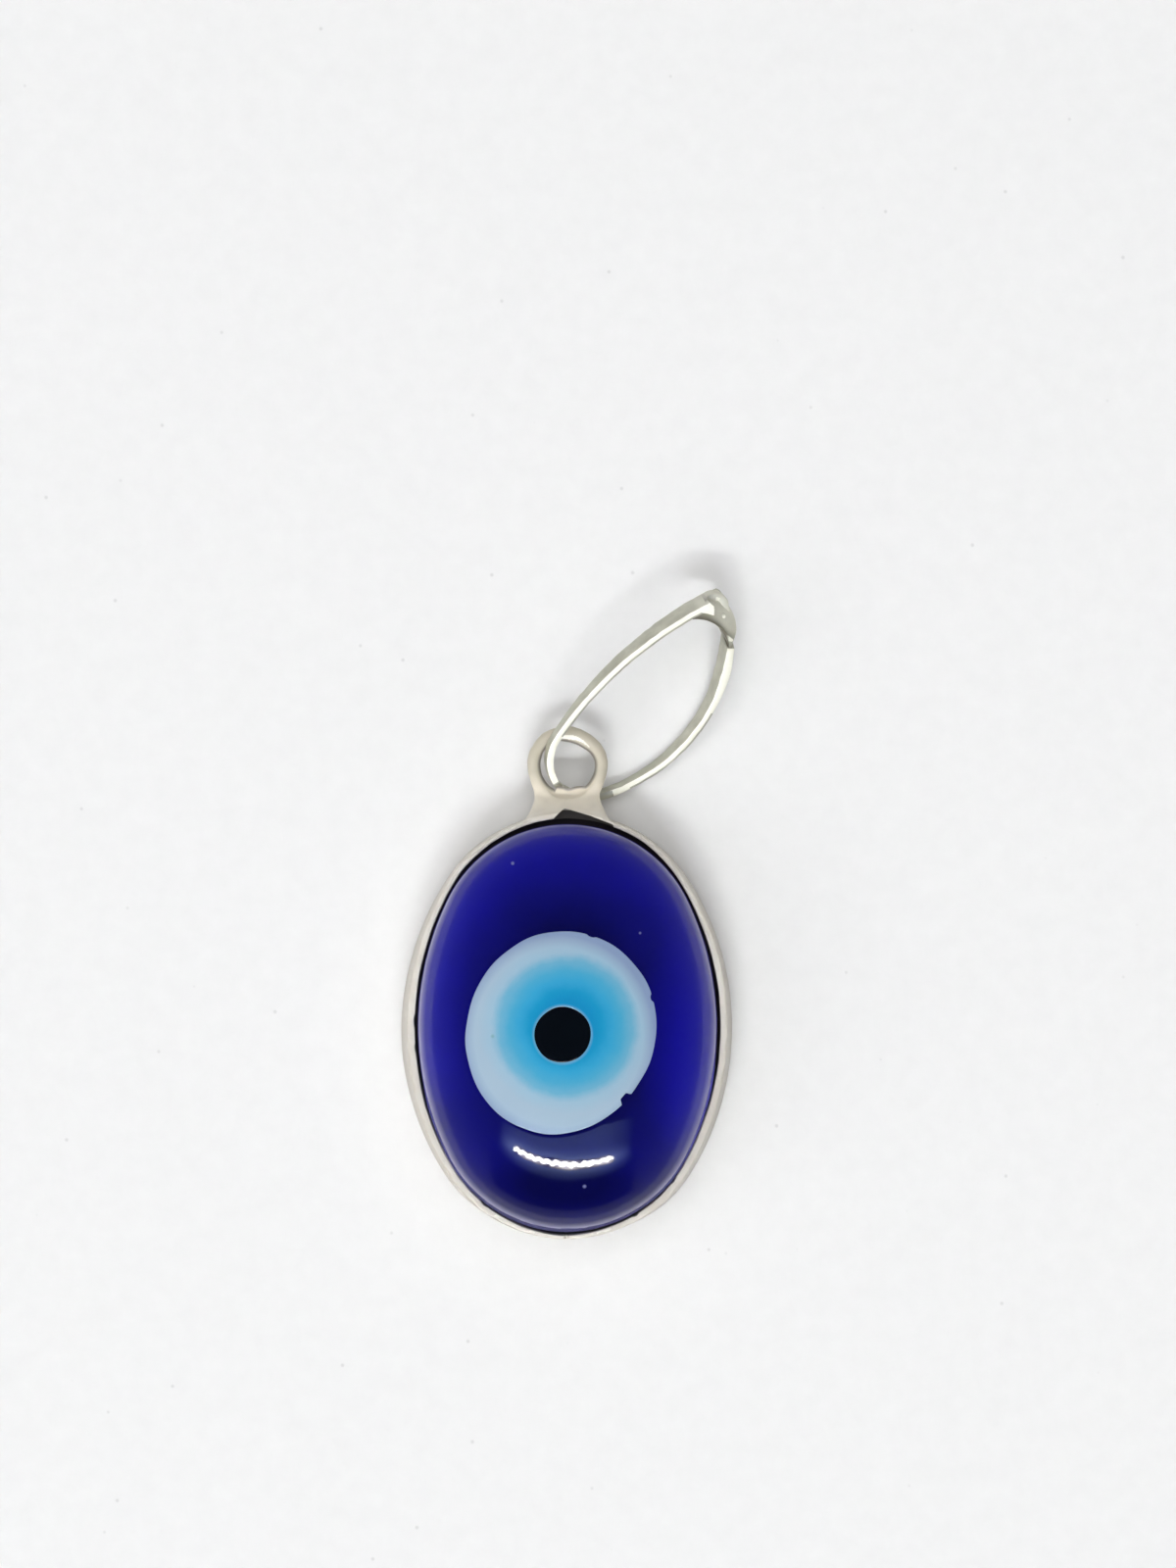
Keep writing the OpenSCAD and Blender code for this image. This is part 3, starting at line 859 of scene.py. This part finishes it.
# Painted glow: the glass is painted brighter blue towards its edge, less so towards the lower end, where
# light comes through it
out = cobalt.distance((0, 0, 0), (1 / 6.06, 1 / 8.22, 0))
lower = cobalt.along("Y", -7.2, -2.5, 0.12, 1)
painted_glow = cobalt.math("MULTIPLY", cobalt.span(out, 0.5, 0.92, 0, 1), lower)
painted_glow = cobalt.math("ADD", painted_glow, cobalt.span(cobalt.noise(2.6, 3), 0.3, 0.7, -0.08, 0.08))
deep = cobalt.ramp(painted_glow, (
    (0.0, (0.002, 0.0024, 0.062)), (0.45, (0.004, 0.004, 0.145)), (1.0, (0.006, 0.005, 0.29)),
))
# Painted reflection of a dark shape near the lower end, a painted glow on the right and painted shade at
# the lower left
painted_dark_reflection = cobalt.span(cobalt.distance((-0.1, -6.3, 0), (1 / 3.0, 1 / 1.25, 0)), 0.5, 1.1, 0.75, 0)
deep = cobalt.mix(painted_dark_reflection, deep, (0.0006, 0.0009, 0.034))
painted_glow_right = cobalt.span(cobalt.distance((5.2, -0.6, 0), (1 / 2.6, 1 / 5, 0)), 0.2, 1, 0.6, 0)
deep = cobalt.mix(painted_glow_right, deep, (0.005, 0.003, 0.36))
painted_shade_left = cobalt.span(cobalt.distance((-5.0, -3.9, 0), (1 / 2.6, 1 / 2.6, 0)), 0, 1, 0.55, 0)
deep = cobalt.mix(painted_shade_left, deep, (0.002, 0.003, 0.09))
deep = specks(cobalt, deep, ((-2.21, 6.67, 0.09), (2.94, 3.87, 0.07), (0.7, -6.38, 0.1)), (0.2, 0.22, 0.45))
# Painted reflection: the glass is painted pale where it is seen edge on, more towards its ends, and a
# little all round its foot
slant = cobalt.span(cobalt.add("ShaderNodeFresnel", IOR=1.5).outputs["Fac"], 0.072, 0.21, 0, 0.85)
ends = cobalt.span(cobalt.distance((0, -0.6, 0), (0, 1, 0)), 3, 7, 1, 1.35)
slant = cobalt.math("MULTIPLY", slant, ends)
painted_edge_reflection = cobalt.math("MAXIMUM", slant, cobalt.along("Z", 3.1, 2.4, 0, 0.3))
cobalt.colour(cobalt.mix(painted_edge_reflection, deep, (0.42, 0.41, 0.57)))


def eye_colour(look):
    """Light blue that fades outward into white, the same in both layers"""
    away = look.distance((-0.04, 0.1, 0))
    away = look.math("ADD", away, look.span(look.noise(0.9, 4), 0.3, 0.7, -0.08, 0.08))
    return look.ramp(look.math("DIVIDE", away, 4.0), (
        (0.265, (0.01, 0.26, 0.53)), (0.365, (0.015, 0.3, 0.555)), (0.465, (0.04, 0.355, 0.605)),
        (0.565, (0.075, 0.38, 0.6)), (0.665, (0.15, 0.42, 0.605)), (0.76, (0.33, 0.51, 0.64)),
        (0.88, (0.38, 0.505, 0.62)),
    ))


milk = glass_look("white_glass")
rim = milk.distance((-0.34, -0.3, 0), (1 / 3.86, 1 / 4.1, 0))
pale = milk.mix(milk.span(milk.noise(1.6, 4), 0.3, 0.7, 0, 0.3), eye_colour(milk), (0.34, 0.46, 0.59))
pale = milk.mix(milk.span(rim, 0.88, 1.0, 0, 0.72), pale, (0.2, 0.27, 0.48))
milk.colour(specks(milk, pale, ((-3.0, -0.28, 0.1),), (0.2, 0.38, 0.42)))

sky = glass_look("blue_glass")
halo = sky.span(sky.distance((-0.18, -0.2, 0)), 1.15, 1.25, 0.6, 0)
sky.colour(sky.mix(halo, eye_colour(sky), (0.2, 0.4, 0.58)))

ink = glass_look("black_glass")
ink.colour(ink.mix(ink.noise(0.6, 3), (0.0012, 0.002, 0.004), (0.002, 0.004, 0.007)))

for piece, node, slot, material in (
    (setting, "setting", "silver", silver),
    (stone, "cabochon", "cobalt_glass", cobalt.material),
    (white, "eye_white", "white_glass", milk.material),
    (iris, "eye_iris", "blue_glass", sky.material),
    (pupil, "eye_pupil", "black_glass", ink.material),
    (bail, "bail", "silver_bail", silver_bail),
):
    piece.data.materials.clear()
    piece.data.materials.append(material)
    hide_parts(node)
    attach(piece, "root")


# Floor, lights and camera

bpy.ops.mesh.primitive_plane_add(size=4)
floor = bpy.context.object
floor.name = "paper"
paper = Look("paper")
grain = paper.noise(0.9, 5, 0.6)
tone = paper.mix(paper.span(grain, 0.3, 0.7, 0, 1), (0.86, 0.86, 0.86), (0.885, 0.885, 0.885))
dust = paper.pits(2.0, 0.02, 0.05)
paper.colour(paper.mix(paper.span(dust, 0, 1, 0.35, 0), tone, (0.5, 0.5, 0.5)))
paper.set(Roughness=0.9, Specular_IOR_Level=0.1)
paper.bump(grain, 0.02, 0.2)
floor.data.materials.append(paper.material)


def panel(name, centre, width, height, power, seen=True):
    """Soft rectangular light that faces the stone"""
    lamp = bpy.data.lights.new(name, "AREA")
    lamp.shape = "RECTANGLE"
    lamp.size = width
    lamp.size_y = height
    lamp.energy = power
    light = bpy.data.objects.new(name, lamp)
    light.location = centre
    light.rotation_euler = (-Vector(centre)).to_track_quat("-Z", "Y").to_euler()
    light.visible_glossy = seen
    bpy.context.scene.collection.objects.link(light)


def shining_sheet(name, points, faces, bright, glossy_only, tint=(1, 1, 1)):
    """Shining sheet that the camera doesn't see, with a brightness at each point"""
    sheet = new_mesh(name, np.asarray(points) / MM, faces)
    layer = sheet.data.attributes.new("bright", "FLOAT", "POINT")
    layer.data.foreach_set("value", bright)
    look = bpy.data.materials.new(name)
    look.use_nodes = True
    tree = look.node_tree
    tree.nodes.clear()
    shine = tree.nodes.new("ShaderNodeEmission")
    source = tree.nodes.new("ShaderNodeAttribute")
    source.attribute_name = "bright"
    tree.links.new(source.outputs["Fac"], shine.inputs["Strength"])
    shine.inputs["Color"].default_value = (*tint, 1)
    out = tree.nodes.new("ShaderNodeOutputMaterial")
    tree.links.new(shine.outputs[0], out.inputs["Surface"])
    sheet.data.materials.append(look)
    sheet.visible_camera = False
    if glossy_only:
        sheet.visible_diffuse = False
        sheet.visible_shadow = False


# Each sheet is drawn at a distance of one, and then scaled to its own distance in metres
LAMP_DISTANCE = 0.4
CASING_DISTANCE = 0.41
WALL_DISTANCE = 0.5
SHAPE_DISTANCE = 0.6
LAMP_LEFT = -0.65
LAMP_SPAN = 1.155
LAMP_STEPS = 72
STRIP_STEPS = 6


def lamp_height(x):
    """Height of the bent lamp above the table, at a distance of one"""
    return 1.305 + 0.237 * min(x - 0.18, 0.0) ** 2


def lamp_x(k):
    return LAMP_LEFT + LAMP_SPAN * k / LAMP_STEPS


def lamp_half(k):
    """Half the lamp's width, less at its ends"""
    return 0.046 * min(1.0, 0.5 + 0.3 * min(k, LAMP_STEPS - k))


# The lamp is a bent row of short strips, so its edges are stepped and toothed
points = []
bright = []
for k in range(LAMP_STEPS + 1):
    x = lamp_x(k)
    middle = LAMP_LEFT + LAMP_SPAN * (k // STRIP_STEPS + 0.5) * STRIP_STEPS / LAMP_STEPS
    half = lamp_half(k)
    height = 0.3 * lamp_height(x) + 0.7 * lamp_height(middle)
    for way in (-1, 1):
        tooth = 0.018 * sin(2 * pi * (k + 0.3 * way) / STRIP_STEPS - 1.6)
        tooth += 0.03 * noise.noise(Vector((0.31 * k, 1.7 * way, 3.3)))
        z = height + tooth + way * half
        points.append((x * LAMP_DISTANCE, -LAMP_DISTANCE, z * LAMP_DISTANCE))
        bright.append(79 - 24 * k / LAMP_STEPS)
shining_sheet("lamp", points, grid_faces(LAMP_STEPS, 1), bright, False)

# Its casing shines dimly along both sides, here more and there less
points = []
bright = []
BORDER = ((-2.5, 0.0), (-1.7, 14.0), (0.0, 14.0), (1.5, 6.0), (2.3, 0.0))
for offset, value in BORDER:
    for k in range(LAMP_STEPS + 1):
        x = lamp_x(k)
        z = lamp_height(x) + offset * lamp_half(k)
        points.append((x * CASING_DISTANCE, -CASING_DISTANCE, z * CASING_DISTANCE))
        bright.append(value * (0.55 + 0.45 * sin(0.26 * k - 2.5)))
shining_sheet("casing", points, grid_faces(len(BORDER) - 1, LAMP_STEPS), bright, True, (1.0, 0.94, 0.92))

# What the glass mirrors round the lamp: a pale wall above it, and a dark shape below it
WALL = (
    (-0.36, 0.05), (-0.22, 0.9), (-0.155, 1.6), (-0.1, 3.2), (0.0, 4.2), (0.1, 3.0), (0.155, 2.4),
    (0.21, 1.7), (0.3, 1.2), (0.42, 1.0), (0.95, 0.95),
)
COLUMNS = 24
points = []
bright = []
for rise, value in WALL:
    spread = 1 + 0.6 * max(0.0, rise)
    for k in range(COLUMNS + 1):
        x = (-0.98 + 1.78 * k / COLUMNS) * spread
        z = lamp_height(x) + rise
        points.append((x * WALL_DISTANCE, -WALL_DISTANCE, z * WALL_DISTANCE))
        bright.append(value * min(1.0, 0.16 * min(k, COLUMNS - k)))
shining_sheet("pale_wall", points, grid_faces(len(WALL) - 1, COLUMNS), bright, True, (0.62, 0.85, 1.5))

outline = (
    (-0.69, 0.28), (-0.78, 0.45), (-1.1, 1.35), (-0.4, 1.3),
    (0.18, 1.22), (0.8, 1.25), (0.72, 0.85), (0.585, 0.28),
)
points = [(x * SHAPE_DISTANCE, -SHAPE_DISTANCE, z * SHAPE_DISTANCE) for x, z in outline]
shining_sheet("dark_shape", points, [tuple(range(len(points)))], [0.03] * len(points), True)

panel("overhead", (-0.05, 0.2, 1.0), 1.2, 1.2, 6.6, seen=False)
panel("front", (-0.13, -0.48, 0.5), 0.5, 0.4, 0.7, seen=False)
panel("left_side", (-0.6, -0.2, 0.4), 0.5, 0.4, 1.1, seen=False)

world = bpy.data.worlds.new("room")
bpy.context.scene.world = world
world.use_nodes = True
nodes = world.node_tree.nodes
links = world.node_tree.links
direction = nodes.new("ShaderNodeTexCoord")
split = nodes.new("ShaderNodeSeparateXYZ")
ramp = nodes.new("ShaderNodeValToRGB")
links.new(direction.outputs["Generated"], split.inputs[0])
links.new(split.outputs["Z"], ramp.inputs["Fac"])
ramp.color_ramp.elements[0].color = (0.46, 0.46, 0.46, 1)
ramp.color_ramp.elements[1].color = (0.02, 0.02, 0.02, 1)
for at, tone in ((0.27, 0.24), (0.6, 0.08)):
    ramp.color_ramp.elements.new(at).color = (tone, tone, tone, 1)
links.new(ramp.outputs["Color"], nodes["Background"].inputs["Color"])

# The picture is 64 mm high at a distance of 200 mm from the camera
VIEW_DISTANCE = 200
VIEW_HEIGHT = 64
lens = bpy.data.cameras.new("camera")
lens.sensor_fit = "VERTICAL"
lens.sensor_height = 24
lens.lens = lens.sensor_height * VIEW_DISTANCE / VIEW_HEIGHT
lens.clip_start = 0.005
lens.clip_end = 20
camera = bpy.data.objects.new("camera", lens)
camera.location = (0.84 * MM, 9.88 * MM, 202.1 * MM)
bpy.context.scene.collection.objects.link(camera)
bpy.context.scene.camera = camera
bpy.context.scene.view_settings.view_transform = "Standard"
